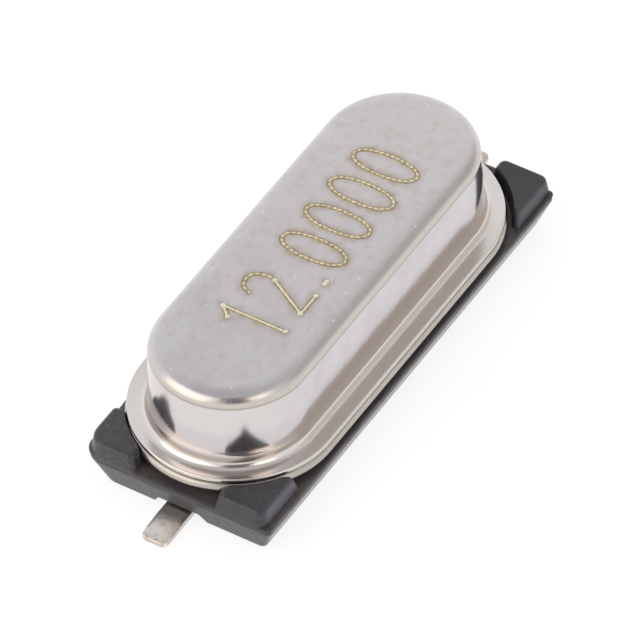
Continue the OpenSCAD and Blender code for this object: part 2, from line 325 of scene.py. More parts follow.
# Moulded liquid crystal polymer: a dull blue charcoal, grainy with glass fibre and faintly clouded by the
# flow of the melt, with painted light on the ledge and post sides, painted shade on the ends and towards +X,
# and a sheen that brightens at a glancing look.
# The fibres' grain is drawn coarser than it is, so that it shows.
moulded_polymer, tree = new_material("moulded_liquid_crystal_polymer")
place = add_node(tree, "ShaderNodeTexCoord").outputs["Object"]
along, across, height = add_node(tree, "ShaderNodeSeparateXYZ", {"Vector": place}).outputs
clouds = add_node(tree, "ShaderNodeTexNoise", {"Vector": place, "Scale": per_mm(0.55), "Detail": 4.0})
grain = add_node(tree, "ShaderNodeTexNoise", {
    "Vector": place, "Scale": per_mm(0.06), "Detail": 4.0, "Roughness": 0.6,
})
lumps = add_node(tree, "ShaderNodeTexNoise", {"Vector": place, "Scale": per_mm(0.2), "Detail": 2.0})
speck = add_node(tree, "ShaderNodeMapRange", {"Value": grain, "From Min": 0.56, "From Max": 0.72})
# Painted light: the ledge round the top of the tray is drawn a lighter brown.
lit_ledge = add_node(tree, "ShaderNodeMath", {0: height, 1: TRAY_TOP_Z * MM}, operation="SUBTRACT")
lit_ledge = add_node(tree, "ShaderNodeMath", {0: lit_ledge}, operation="ABSOLUTE")
lit_ledge = add_node(tree, "ShaderNodeMapRange", {
    "Value": lit_ledge, "From Min": 0.03 * MM, "From Max": 0.006 * MM, "To Max": 0.75,
})
# Painted light: the posts' side faces, above the ledge, are drawn lighter.
lit_post_sides = add_node(tree, "ShaderNodeMath", {0: across}, operation="ABSOLUTE")
lit_post_sides = add_node(tree, "ShaderNodeMapRange", {
    "Value": lit_post_sides, "From Min": (POST_FACE_Y - 0.105) * MM, "From Max": (POST_FACE_Y - 0.035) * MM,
})
upper = add_node(tree, "ShaderNodeMapRange", {
    "Value": height, "From Min": (TRAY_TOP_Z + 0.02) * MM, "From Max": (TRAY_TOP_Z + 0.06) * MM,
})
lit_post_sides = add_node(tree, "ShaderNodeMath", {0: lit_post_sides, 1: upper}, operation="MULTIPLY")
# Painted shade: the end faces are drawn darker, most towards -Y.
ends = add_node(tree, "ShaderNodeMath", {0: along}, operation="ABSOLUTE")
ends = add_node(tree, "ShaderNodeMapRange", {
    "Value": ends, "From Min": (POST_FACE_X - 0.24) * MM, "From Max": (POST_FACE_X - 0.13) * MM,
})
shade = add_node(tree, "ShaderNodeMapRange", {
    "Value": across, "From Min": 2.4 * MM, "From Max": -1.4 * MM, "To Max": 0.6,
})
ends = add_node(tree, "ShaderNodeMath", {0: ends, 1: shade}, operation="MULTIPLY")
# Painted shade: darker towards the +X end.
shaded_far_end = add_node(tree, "ShaderNodeMapRange", {
    "Value": along, "From Min": 3.4 * MM, "From Max": 4.6 * MM, "To Max": 0.55,
})
base = add_node(tree, "ShaderNodeMix", {
    "Factor": clouds, "A": tone("#2a2627"), "B": tone("#3f3f4a"),
}, data_type="RGBA")
# Each tint goes over the last one, where its share says.
for where, colour in (
    (speck, "#5d5d68"), (lit_ledge, "#585050"), (lit_post_sides, "#54545f"), (ends, "#24242b"), (shaded_far_end, "#26262d"),
):
    base = add_node(tree, "ShaderNodeMix", {
        "Factor": where, "A": base, "B": tone(colour),
    }, data_type="RGBA")
dull = add_node(tree, "ShaderNodeMapRange", {"Value": clouds, "To Min": 0.34, "To Max": 0.5})
glance = add_node(tree, "ShaderNodeLayerWeight", {"Blend": 0.5}).outputs["Facing"]
glance = add_node(tree, "ShaderNodeMapRange", {"Value": glance, "From Min": 0.52, "From Max": 0.92})
dull = add_node(tree, "ShaderNodeMix", {"Factor": glance, "A": dull, "B": 0.2}, data_type="FLOAT")
sheen = add_node(tree, "ShaderNodeMapRange", {"Value": glance, "To Min": 0.5, "To Max": 0.34})
relief = add_node(tree, "ShaderNodeBump", {"Height": grain, "Strength": 0.5, "Distance": 0.012 * MM})
relief = add_node(tree, "ShaderNodeBump", {
    "Height": lumps, "Strength": 0.4, "Distance": 0.04 * MM, "Normal": relief,
})
surface = add_node(tree, "ShaderNodeBsdfPrincipled", {
    "Base Color": base, "Roughness": dull, "IOR": 1.6, "Specular IOR Level": sheen, "Normal": relief,
})
add_node(tree, "ShaderNodeOutputMaterial", {"Surface": surface})

finish_piece(insulator, moulded_polymer, 38)
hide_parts("insulator")

# ---------------------------------------------------------------------------
# Header
# The base plate that closes the case: cold-formed steel, nickel plated, with a
# raised middle inside the case and a pad below that rests on the insulator. Two
# holes take the glass seals, and the case's flange is welded to its rim.
# ---------------------------------------------------------------------------

FLANGE_CORE, RIM_CORE = 3.225, 3.25
HEADER_REACH, HEADER_PAD_REACH = 2.31, 1.93
PAD_Z, LIP_Z, SEAM_Z, BOSS_Z = 0.83, 0.99, 1.21, 1.56
BOSS_CORE, BOSS_REACH = 3.335, 1.495
SEAL_R = 0.65
SHEAR_RUNS, SHEAR_LINES = 1.2, 28.0  # marks to the millimetre, round the edge and up it


def racetrack(core, reach, z, straight_steps, turn_steps):
    """Round-ended outline at a reach from a core line of the given half length, anticlockwise."""
    points = []
    for side, first in ((1, -90), (-1, 90)):
        for step in range(turn_steps + 1):
            turn = math.radians(first + 180 * step / turn_steps)
            points.append((side * core + reach * math.cos(turn), reach * math.sin(turn), z))
        for step in range(1, straight_steps):
            x = side * core * (1 - 2 * step / straight_steps)
            points.append((x, side * reach, z))
    return points


header_section = [
    (FLANGE_CORE, HEADER_PAD_REACH - 0.02, PAD_Z), (FLANGE_CORE, HEADER_PAD_REACH, PAD_Z + 0.02),
    (FLANGE_CORE, HEADER_PAD_REACH, LIP_Z - 0.03), (FLANGE_CORE, HEADER_PAD_REACH + 0.03, LIP_Z),
    (RIM_CORE, HEADER_REACH - 0.05, LIP_Z), (RIM_CORE, HEADER_REACH - 0.02, LIP_Z + 0.012),
    (RIM_CORE, HEADER_REACH - 0.004, LIP_Z + 0.035), (RIM_CORE, HEADER_REACH, LIP_Z + 0.07),
    (RIM_CORE, HEADER_REACH - 0.002, SEAM_Z - 0.12), (RIM_CORE, HEADER_REACH - 0.008, SEAM_Z - 0.09),
    (RIM_CORE, HEADER_REACH - 0.02, SEAM_Z - 0.064), (RIM_CORE, HEADER_REACH - 0.036, SEAM_Z - 0.043),
    (RIM_CORE, HEADER_REACH - 0.055, SEAM_Z - 0.028), (RIM_CORE, HEADER_REACH - 0.08, SEAM_Z - 0.018),
    (FLANGE_CORE, HEADER_REACH - 0.1, SEAM_Z - 0.014), (FLANGE_CORE, HEADER_REACH - 0.11, SEAM_Z),
    (BOSS_CORE, BOSS_REACH + 0.04, SEAM_Z),
    (BOSS_CORE, BOSS_REACH, SEAM_Z + 0.04), (BOSS_CORE, BOSS_REACH, BOSS_Z - 0.04),
    (BOSS_CORE, BOSS_REACH - 0.04, BOSS_Z),
]
header = skin("header_plate", [racetrack(core, reach, z, 60, 48) for core, reach, z in header_section])
seal_loops = bore_loops(SEAL_R, 0.6, 1.8, 60)
combine(header, "DIFFERENCE", skin("cutter", seal_loops), skin("cutter", turned(seal_loops)))

# Nickel plate over a sheared steel edge: bright, a little warm, with lines along the shear, drawn coarse
# enough to show.
header_nickel, tree = new_material("nickel_plated_header_steel")
place = add_node(tree, "ShaderNodeTexCoord").outputs["Object"]
wrap = add_node(tree, "ShaderNodeUVMap", uv_map="wrap").outputs["UV"]
shear = add_node(tree, "ShaderNodeMapping", {"Vector": wrap, "Scale": (SHEAR_RUNS, SHEAR_LINES, 1.0)})
shear = add_node(tree, "ShaderNodeTexNoise", {"Vector": shear, "Scale": 1.0, "Detail": 4.0})
patches = add_node(tree, "ShaderNodeTexNoise", {"Vector": place, "Scale": per_mm(0.5), "Detail": 3.0})
base = add_node(tree, "ShaderNodeMix", {
    "Factor": patches, "A": tone("#aca7a3"), "B": tone("#c0bbb6"),
}, data_type="RGBA")
dull = add_node(tree, "ShaderNodeMapRange", {"Value": patches, "To Min": 0.18, "To Max": 0.32})
relief = add_node(tree, "ShaderNodeBump", {"Height": shear, "Strength": 0.4, "Distance": 0.012 * MM})
surface = add_node(tree, "ShaderNodeBsdfPrincipled", {
    "Base Color": base, "Metallic": 1.0, "Roughness": dull, "Normal": relief,
})
add_node(tree, "ShaderNodeOutputMaterial", {"Surface": surface})

finish_piece(header, header_nickel, 40)
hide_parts("header")

# ---------------------------------------------------------------------------
# Glass seals
# A bead of dark sealing glass fused into each hole of the header, which holds
# the lead and keeps it apart from the steel.
# ---------------------------------------------------------------------------

# Sealing glass: deep blue green, glossy where the melt has settled, with small bubbles in it.
seal_glass, tree = new_material("fused_sealing_glass")
place = add_node(tree, "ShaderNodeTexCoord").outputs["Object"]
bubbles = add_node(tree, "ShaderNodeTexVoronoi", {"Vector": place, "Scale": per_mm(0.12)})
bubble = add_node(tree, "ShaderNodeMapRange", {
    "Value": bubbles, "From Min": 0.1, "From Max": 0.3, "To Min": 1.0, "To Max": 0.0,
})
base = add_node(tree, "ShaderNodeMix", {
    "Factor": bubble, "A": tone("#26414d"), "B": tone("#5f7f8a"),
}, data_type="RGBA")
relief = add_node(tree, "ShaderNodeBump", {"Height": bubble, "Strength": 0.2, "Distance": 0.01 * MM})
surface = add_node(tree, "ShaderNodeBsdfPrincipled", {
    "Base Color": base, "Roughness": 0.08, "IOR": 1.52, "Normal": relief, "Transmission Weight": 0.35,
})
add_node(tree, "ShaderNodeOutputMaterial", {"Surface": surface})


def coat(material, *nodes):
    """Gives pieces that keep their CAD shape their material."""
    for node in nodes:
        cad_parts[node].data.materials.clear()
        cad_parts[node].data.materials.append(material)


coat(seal_glass, "glass_seal_left", "glass_seal_right")

# ---------------------------------------------------------------------------
# Leads
# Round iron-nickel wire with a head inside the case, dipped in tin. Below the
# header each one is bent outwards and coined flat into a solder foot, whose
# cropped tip shows bare, worn metal.
# ---------------------------------------------------------------------------

WIRE_R, WIRE_Z, BEND_R = 0.215, 0.255, 0.35
HEAD_R, HEAD_Z0, HEAD_Z1, HEAD_EDGE = 0.4, 1.71, 1.81, 0.03
FOOT_HALF, FOOT_T, FOOT_TIP_X, FOOT_TIP_R, TIP_LENGTH = 0.32, 0.22, 6.55, 0.13, 0.14
THIN_X, THIN_T = 5.85, 0.15  # the foot thins from here on, to this at its tip
COIN_X0, COIN_X1 = 2.89, 3.49
ROUND, TIP_BLUNT, FOOT_BLUNT, BLUNT = 2.0, 4.6, 6.0, 7.0  # section: a circle at 2, nearly square at 7
WEAR, TIP_WEAR, TIP_ZONE, DENT = 0.005, 0.01, 0.3, 0.16  # depth, depth at the tip, its length, dents' size
SPRUNG_X, SPRUNG_BY = 5.2, Vector((0.1, 0.1, 0.05))  # the far foot is bent out of line towards its tip


def wire_section(centre, width_way, depth_way, half_width, half_depth, blunt, steps=32):
    """One cross-section of the lead, squarer the higher its bluntness."""
    loop = []
    for step in range(steps):
        turn = math.tau * step / steps
        c, s = math.cos(turn), math.sin(turn)
        across = half_width * math.copysign(abs(c) ** (2 / blunt), c)
        down = half_depth * math.copysign(abs(s) ** (2 / blunt), s)
        loop.append(centre + width_way * across + depth_way * down)
    return loop


def lead_loops(seed):
    """The lead from its foot's tip to its head: coined strip, ramp, round wire, bend, pin, head."""
    across, up = Vector((0, -1, 0)), Vector((0, 0, 1))
    flat = FOOT_T / 2
    loops = []
    tip_rows = ((0.0, 0.5), (0.006, 0.7), (0.02, 0.86), (0.045, 0.96), (0.08, 1.0), (TIP_LENGTH, 1.0))
    for back, squeeze in tip_rows:
        reach = math.sqrt(max(0.0, FOOT_TIP_R ** 2 - (FOOT_TIP_R - back) ** 2))
        half = (FOOT_HALF - FOOT_TIP_R) + reach
        centre = Vector((FOOT_TIP_X - back, 0, THIN_T / 2))
        loops.append(wire_section(centre, across, up, half, THIN_T / 2 * squeeze, TIP_BLUNT))
    steps = 40
    for step in range(1, steps + 1):
        x = FOOT_TIP_X - TIP_LENGTH - (FOOT_TIP_X - TIP_LENGTH - COIN_X1) * step / steps
        out = max(0.0, (x - THIN_X) / (FOOT_TIP_X - THIN_X))
        half = (FOOT_T + (THIN_T - FOOT_T) * out) / 2
        blunt = TIP_BLUNT + (FOOT_BLUNT - TIP_BLUNT) * step / steps
        loops.append(wire_section(Vector((x, 0, half)), across, up, FOOT_HALF, half, blunt))
    for step in range(1, 13):
        t = step / 12
        ease = t * t * (3 - 2 * t)
        centre = Vector((COIN_X1 + (COIN_X0 - COIN_X1) * t, 0, flat + (WIRE_Z - flat) * ease))
        half_width = FOOT_HALF + (WIRE_R - FOOT_HALF) * ease
        half_depth = flat + (WIRE_R - flat) * ease
        blunt = BLUNT + (ROUND - BLUNT) * ease ** 0.4
        loops.append(wire_section(centre, across, up, half_width, half_depth, blunt))
    for step in range(0, 13):
        turn = math.radians(90 * step / 12)
        in_x, up_z = BEND_R * (1 - math.sin(turn)), BEND_R * (1 - math.cos(turn))
        centre = Vector((LEAD_X + in_x, 0, WIRE_Z + up_z))
        depth_way = Vector((math.sin(turn), 0, math.cos(turn)))
        loops.append(wire_section(centre, across, depth_way, WIRE_R, WIRE_R, ROUND))
    for z, reach in (
        (0.9, WIRE_R), (1.3, WIRE_R), (HEAD_Z0 - HEAD_EDGE, WIRE_R), (HEAD_Z0, WIRE_R + HEAD_EDGE),
        (HEAD_Z0, HEAD_R - HEAD_EDGE), (HEAD_Z0 + HEAD_EDGE, HEAD_R),
        (HEAD_Z1 - HEAD_EDGE, HEAD_R), (HEAD_Z1, HEAD_R - HEAD_EDGE),
    ):
        loops.append(wire_section(Vector((LEAD_X, 0, z)), across, Vector((1, 0, 0)), reach, reach, ROUND))
    for loop in loops[:steps]:
        for i, point in enumerate(loop):
            tip = max(0.0, 1 - (FOOT_TIP_X - point.x) / TIP_ZONE)
            dent = 0.5 + 0.5 * uneven(point, DENT, seed)
            middle = Vector((min(point.x, FOOT_TIP_X - 0.1), 0, 0.8 * flat))
            loop[i] = point + (middle - point).normalized() * (WEAR + TIP_WEAR * tip) * max(0.0, dent)
    return loops


# Hot-dipped tin: silvery grey with a soft shine, mottled where the melt froze, pitted at the cropped tip.
dipped_tin, tree = new_material("hot_dipped_tin")
place = add_node(tree, "ShaderNodeTexCoord").outputs["Object"]
along, across = add_node(tree, "ShaderNodeSeparateXYZ", {"Vector": place}).outputs[:2]
reach = add_node(tree, "ShaderNodeMath", {0: along}, operation="ABSOLUTE")
ripple = add_node(tree, "ShaderNodeTexNoise", {"Vector": place, "Scale": per_mm(0.22), "Detail": 3.0})
scuff = add_node(tree, "ShaderNodeTexNoise", {"Vector": place, "Scale": per_mm(0.07), "Detail": 3.0})
film = add_node(tree, "ShaderNodeMapRange", {"Value": ripple, "From Min": 0.35, "From Max": 0.65})
# Painted light: the leads are tinted warmer on their -Y side.
warm = add_node(tree, "ShaderNodeMapRange", {"Value": across, "From Min": 0.05 * MM, "From Max": -0.2 * MM})
# Painted shade: the foot's flanks and its cropped tip face are drawn darker.
shaded_foot_sides = add_node(tree, "ShaderNodeMath", {0: across}, operation="ABSOLUTE")
shaded_foot_sides = add_node(tree, "ShaderNodeMapRange", {
    "Value": shaded_foot_sides, "From Min": (FOOT_HALF - 0.02) * MM, "From Max": (FOOT_HALF - 0.004) * MM,
})
cropped = add_node(tree, "ShaderNodeMapRange", {
    "Value": reach, "From Min": (FOOT_TIP_X - 0.04) * MM, "From Max": (FOOT_TIP_X - 0.01) * MM,
})
shaded_foot_sides = add_node(tree, "ShaderNodeMath", {0: shaded_foot_sides, 1: cropped}, operation="MAXIMUM")
# Painted shade: the far lead, past x = 5 mm, is drawn darker.
far_lead_shade = add_node(tree, "ShaderNodeMapRange", {"Value": along, "From Min": 5.0 * MM, "From Max": 5.6 * MM})
pitted = add_node(tree, "ShaderNodeMapRange", {
    "Value": reach, "From Min": (FOOT_TIP_X - 0.22) * MM, "From Max": (FOOT_TIP_X - 0.05) * MM,
})
rubbed = add_node(tree, "ShaderNodeMapRange", {"Value": scuff, "From Min": 0.5, "From Max": 0.62})
pitted = add_node(tree, "ShaderNodeMath", {0: pitted, 1: rubbed}, operation="MULTIPLY")
base = add_node(tree, "ShaderNodeMix", {
    "Factor": film, "A": tone("#f1eeef"), "B": tone("#dcd7d4"),
}, data_type="RGBA")
for where, colour in ((warm, "#efe4da"), (shaded_foot_sides, "#cdc5bf"), (far_lead_shade, "#cbc4be"), (pitted, "#b9b3a8")):
    base = add_node(tree, "ShaderNodeMix", {
        "Factor": where, "A": base, "B": tone(colour),
    }, data_type="RGBA")
dull = add_node(tree, "ShaderNodeMapRange", {"Value": ripple, "To Min": 0.22, "To Max": 0.38})
relief = add_node(tree, "ShaderNodeBump", {"Height": ripple, "Strength": 0.35, "Distance": 0.03 * MM})
relief = add_node(tree, "ShaderNodeBump", {
    "Height": scuff, "Strength": 0.3, "Distance": 0.006 * MM, "Normal": relief,
})
surface = add_node(tree, "ShaderNodeBsdfPrincipled", {
    "Base Color": base, "Metallic": 1.0, "Roughness": dull, "Normal": relief,
})
add_node(tree, "ShaderNodeOutputMaterial", {"Surface": surface})

sprung = []
for loop in lead_loops(1):
    shares = [max(0.0, (p.x - SPRUNG_X) / (FOOT_TIP_X - SPRUNG_X)) for p in loop]
    sprung.append([p + SPRUNG_BY * share for p, share in zip(loop, shares)])
lead_right = skin("lead_wire_right", sprung)
lead_left = skin("lead_wire_left", [[(-p.x, -p.y, p.z) for p in loop] for loop in lead_loops(2)])
for lead, node in ((lead_right, "lead_right"), (lead_left, "lead_left")):
    finish_piece(lead, dipped_tin, 50)
    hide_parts(node)

# ---------------------------------------------------------------------------
# Spring clips
# Folded strips of phosphor bronze, spot welded to the heads of the leads inside
# the case. Each carries one end of the quartz blank between its two ears.
# ---------------------------------------------------------------------------

# Rolled phosphor bronze: warm, with rolling lines, drawn coarse enough to show, and a thin, uneven tarnish.
clip_bronze, tree = new_material("rolled_phosphor_bronze")
place = add_node(tree, "ShaderNodeTexCoord").outputs["Object"]
rolled = add_node(tree, "ShaderNodeMapping", {
    "Vector": place, "Scale": (per_mm(0.6), per_mm(0.02), per_mm(0.02)),
})
rolled = add_node(tree, "ShaderNodeTexNoise", {"Vector": rolled, "Scale": 1.0, "Detail": 3.0})
tarnish = add_node(tree, "ShaderNodeTexNoise", {"Vector": place, "Scale": per_mm(0.3)})
base = add_node(tree, "ShaderNodeMix", {
    "Factor": tarnish, "A": tone("#c79a5e"), "B": tone("#9c7142"),
}, data_type="RGBA")
dull = add_node(tree, "ShaderNodeMapRange", {"Value": rolled, "To Min": 0.2, "To Max": 0.4})
surface = add_node(tree, "ShaderNodeBsdfPrincipled", {
    "Base Color": base, "Metallic": 1.0, "Roughness": dull,
})
add_node(tree, "ShaderNodeOutputMaterial", {"Surface": surface})

coat(clip_bronze, "spring_clip_left", "spring_clip_right")

# ---------------------------------------------------------------------------
# Quartz blank
# A thin strip of quartz, sawn at the angle that keeps its pitch steady and lapped
# to thickness. It rings between the two clips, glued to one at each end.
# ---------------------------------------------------------------------------

# Lapped quartz: water clear with a frosted skin left by the lapping grit, drawn coarser than the grit is.
lapped_quartz, tree = new_material("lapped_quartz")
place = add_node(tree, "ShaderNodeTexCoord").outputs["Object"]
grit = add_node(tree, "ShaderNodeTexNoise", {"Vector": place, "Scale": per_mm(0.03), "Detail": 2.0})
frost = add_node(tree, "ShaderNodeMapRange", {"Value": grit, "To Min": 0.2, "To Max": 0.45})
tint = add_node(tree, "ShaderNodeMix", {
    "Factor": grit, "A": tone("#e6eff1"), "B": tone("#f6fafa"),
}, data_type="RGBA")
relief = add_node(tree, "ShaderNodeBump", {"Height": grit, "Strength": 0.2, "Distance": 0.005 * MM})
surface = add_node(tree, "ShaderNodeBsdfPrincipled", {
    "Base Color": tint, "Roughness": frost, "IOR": 1.544, "Transmission Weight": 0.85, "Normal": relief,
})
add_node(tree, "ShaderNodeOutputMaterial", {"Surface": surface})

coat(lapped_quartz, "quartz_blank")

# ---------------------------------------------------------------------------
# Electrodes
# Silver films evaporated on both faces of the blank through a mask, each with a
# tab to one end.
# ---------------------------------------------------------------------------

# Evaporated silver: mirror bright, hazed by the lapped face under it, drawn coarse enough to show.
silver_film, tree = new_material("evaporated_silver")
place = add_node(tree, "ShaderNodeTexCoord").outputs["Object"]
haze = add_node(tree, "ShaderNodeTexNoise", {"Vector": place, "Scale": per_mm(0.05), "Detail": 3.0})
dull = add_node(tree, "ShaderNodeMapRange", {"Value": haze, "To Min": 0.15, "To Max": 0.35})
tint = add_node(tree, "ShaderNodeMix", {
    "Factor": haze, "A": tone("#e9e7e3"), "B": tone("#f7f6f3"),
}, data_type="RGBA")
surface = add_node(tree, "ShaderNodeBsdfPrincipled", {
    "Base Color": tint, "Metallic": 1.0, "Roughness": dull,
})
add_node(tree, "ShaderNodeOutputMaterial", {"Surface": surface})

coat(silver_film, "electrode_upper", "electrode_lower")

# ---------------------------------------------------------------------------
# Adhesive
# A dot of silver-filled polymer at each end, cured in an oven, which holds the
# blank to its clip and joins the film to it.
# ---------------------------------------------------------------------------

# Cured silver paste: flat grey with bright flakes in it, drawn larger than they are, so that they show.
silver_paste, tree = new_material("cured_silver_paste")
place = add_node(tree, "ShaderNodeTexCoord").outputs["Object"]
flakes = add_node(tree, "ShaderNodeTexVoronoi", {"Vector": place, "Scale": per_mm(0.04)})
flake = add_node(tree, "ShaderNodeSeparateColor", {"Color": flakes.outputs["Color"]})
base = add_node(tree, "ShaderNodeMix", {
    "Factor": flake.outputs["Red"], "A": tone("#8b8a86"), "B": tone("#c9c8c3"),
}, data_type="RGBA")
relief = add_node(tree, "ShaderNodeBump", {"Height": flakes, "Strength": 0.4, "Distance": 0.01 * MM})
surface = add_node(tree, "ShaderNodeBsdfPrincipled", {
    "Base Color": base, "Metallic": 0.7, "Roughness": 0.48, "Normal": relief,
})
add_node(tree, "ShaderNodeOutputMaterial", {"Surface": surface})

coat(silver_paste, "adhesive_left", "adhesive_right")

# ---------------------------------------------------------------------------
# Can
# The drawn cover: thin nickel-plated steel with round ends, a satin top, bright
# drawn walls and a flat flange, resistance welded to the header all round.
# ---------------------------------------------------------------------------

CAN_TOP_Z, CAN_SHEET, INNER_ROLL_R = 3.226, 0.15, 0.2
TOP_CORE, TOP_REACH = 3.295, 1.75
WALL_CORE, WALL_REACH = 3.28, 1.812
FOOT_CORE = 3.31
ROLL_R, ROLL_TURN, SHOULDER_R = 0.85, 14, 0.29  # a wide roll on the top's rim, then the tight shoulder
FLARE_Z, FLARE_TURN, FOOT_BEND_R, UNDERCUT = 1.62, 6, 0.17, 0.003
FLANGE_Z, FLANGE_RISE, FLANGE_REACH, FLANGE_INSET = 1.325, 0.006, 2.285, 0.035
DIE_LINES, DIE_RUNS = 22.0, 0.5  # marks to the millimetre, round the wall and up it
TOP_PACE = 0.05  # distance between the top's rings of points

can_section = []
# Inside, from the middle of the top down to the flange.
inner_top_z = CAN_TOP_Z - CAN_SHEET
for reach in (0.0, 0.7, TOP_REACH - CAN_SHEET - INNER_ROLL_R):
    can_section.append((TOP_CORE, reach, inner_top_z))
for turn in range(15, 91, 15):
    a = math.radians(turn)
    reach = TOP_REACH - CAN_SHEET - INNER_ROLL_R * (1 - math.sin(a))
    can_section.append((TOP_CORE, reach, inner_top_z - INNER_ROLL_R * (1 - math.cos(a))))
inner_bend = FOOT_BEND_R + CAN_SHEET
for turn in range(0, 91, 15):
    a = math.radians(turn)
    reach = WALL_REACH - CAN_SHEET + inner_bend * (1 - math.cos(a))
    can_section.append((WALL_CORE, reach, SEAM_Z + inner_bend * (1 - math.sin(a))))
# The flange's sheared edge, and its face, which rises a little towards the edge.
for inset, rise in (
    (0.07, 0.0), (0.02, 0.008), (0.005, 0.024), (0.0, 0.045), (0.0, 0.085),
    (0.004, 0.104), (0.012, 0.115), (0.025, 0.12),
):
    can_section.append((FLANGE_CORE, FLANGE_REACH - inset, SEAM_Z + rise))
flare = math.radians(FLARE_TURN)
bend_z = FLANGE_Z + FOOT_BEND_R
bend_reach = WALL_REACH + (FLARE_Z - bend_z) * math.tan(flare) + FOOT_BEND_R / math.cos(flare)
for share in (0.0, 0.5, 1.0):
    reach = FLANGE_REACH - FLANGE_INSET + share * (bend_reach - FLANGE_REACH + FLANGE_INSET)
    core = FLANGE_CORE + share * (FOOT_CORE - FLANGE_CORE)
    can_section.append((core, reach, FLANGE_Z + FLANGE_RISE * (1 - share)))
# The bend out of the flange, and the short flare that leads into it from the wall.
for step in range(1, 13):
    a = (math.radians(90) - flare) * step / 12
    reach = bend_reach - FOOT_BEND_R * math.sin(a)
    can_section.append((FOOT_CORE, reach, bend_z - FOOT_BEND_R * math.cos(a)))
for share in (0.5, 0.85):
    core = FOOT_CORE + share * (WALL_CORE - FOOT_CORE)
    reach = can_section[-1][1] + 0.5 * (WALL_REACH - can_section[-1][1])
    can_section.append((core, reach, can_section[-1][2] + 0.5 * (FLARE_Z - can_section[-1][2])))
can_section.append((WALL_CORE, WALL_REACH, FLARE_Z))
# The wall, leaning in a little at the sides, and the shoulder that rolls over into the satin top.
roll = math.radians(ROLL_TURN)
shoulder_z = CAN_TOP_Z - ROLL_R * (1 - math.cos(roll)) - SHOULDER_R * math.cos(roll)
wall_z = FLARE_Z + 0.02
for share in (0.0, 0.15, 0.3, 0.45, 0.6, 0.75, 0.9, 0.965):
    core = WALL_CORE + (TOP_CORE - WALL_CORE) * share
    reach = WALL_REACH + (TOP_REACH - WALL_REACH - UNDERCUT) * share
    can_section.append((core, reach, wall_z + share * (shoulder_z - wall_z)))
for step in range(14):
    a = (math.radians(90) - roll) * step / 13
    reach = TOP_REACH - SHOULDER_R * (1 - math.cos(a))
    can_section.append((TOP_CORE, reach, shoulder_z + SHOULDER_R * math.sin(a)))
flat_reach = TOP_REACH - SHOULDER_R * (1 - math.sin(roll)) - ROLL_R * math.sin(roll)
for turn in range(ROLL_TURN - 2, -1, -2):
    a = math.radians(turn)
    reach = flat_reach + ROLL_R * math.sin(a)
    can_section.append((TOP_CORE, reach, CAN_TOP_Z - ROLL_R * (1 - math.cos(a))))
rings = round(flat_reach / TOP_PACE)
can_section += [(TOP_CORE, flat_reach * ring / rings, CAN_TOP_Z) for ring in range(rings - 1, -1, -1)]
can_loops = [racetrack(core, reach, z, 132, 60) for core, reach, z in can_section]
can = skin("can_shell", can_loops, capped=False)

# The strokes of the number marked on the top, which the can's tarnish round them needs as well.
FIGURE_HALF, FIGURE_UP, MARK_Y = 0.3, 0.76, -0.1
CELL, POINT_CELL = 0.95, 0.5  # the room that a figure and the point take along the can
STRAIGHT_PACE, CURVED_PACE = 0.05, 0.13
SCORCH_REACH, SCORCH_PACE = 0.25, 0.03


def ellipse(centre, half_width, half_height, first, last, steps):
    """Points on an upright oval between two angles in degrees."""
    points = []
    for step in range(steps + 1):
        turn = math.radians(first + (last - first) * step / steps)
        c, s = math.cos(turn), math.sin(turn)
        x = centre[0] + half_width * math.copysign(abs(c) ** 0.9, c)
        points.append((x, centre[1] + half_height * math.copysign(abs(s) ** 0.9, s)))
    return points


# Each stroke is its points, whether it closes, and the distance between its beads.
bowl = ellipse((0, 0.41), FIGURE_HALF, 0.35, 168, -32, 20)
FIGURES = {
    "0": [(ellipse((0, 0), FIGURE_HALF, FIGURE_UP, 0, 351, 39), True, CURVED_PACE)],
    "1": [([(-0.18, 0.5), (0.04, FIGURE_UP - 0.02)], False, STRAIGHT_PACE),
          ([(0.06, FIGURE_UP), (0.06, -FIGURE_UP)], False, STRAIGHT_PACE)],
    "2": [(bowl, False, CURVED_PACE),
          ([bowl[-1], (0.02 - FIGURE_HALF, 0.02 - FIGURE_UP)], False, STRAIGHT_PACE),
          ([(-FIGURE_HALF, -FIGURE_UP), (FIGURE_HALF, -FIGURE_UP)], False, STRAIGHT_PACE)],
    ".": [([(-0.04, -FIGURE_UP + 0.02), (0.04, -FIGURE_UP + 0.02)], False, STRAIGHT_PACE)],
}
NUMBER = "12.0000"
strokes = []
x = -(CELL * (len(NUMBER) - 1) + POINT_CELL) / 2
for figure in NUMBER:
    cell = POINT_CELL if figure == "." else CELL
    for points, closes, pace in FIGURES[figure]:
        strokes.append(([(x + cell / 2 + px, MARK_Y + py) for px, py in points], closes, pace))
    x += cell

burnt = []
for points, closes, pace in strokes:
    for start, end in zip(points, points[1:] + points[:1] if closes else points[1:]):
        parts = max(1, round(math.dist(start, end) / SCORCH_PACE))
        start, end = Vector((*start, CAN_TOP_Z)), Vector((*end, CAN_TOP_Z))
        burnt += [start.lerp(end, k / parts) for k in range(parts + 1)]
burnt_tree = KDTree(len(burnt))
for i, point in enumerate(burnt):
    burnt_tree.insert(point, i)
burnt_tree.balance()
scorch = can.data.attributes.new("scorch", "FLOAT", "POINT")
for vertex, value in zip(can.data.vertices, scorch.data):
    value.value = max(0.0, 1 - burnt_tree.find(vertex.co)[2] / SCORCH_REACH)

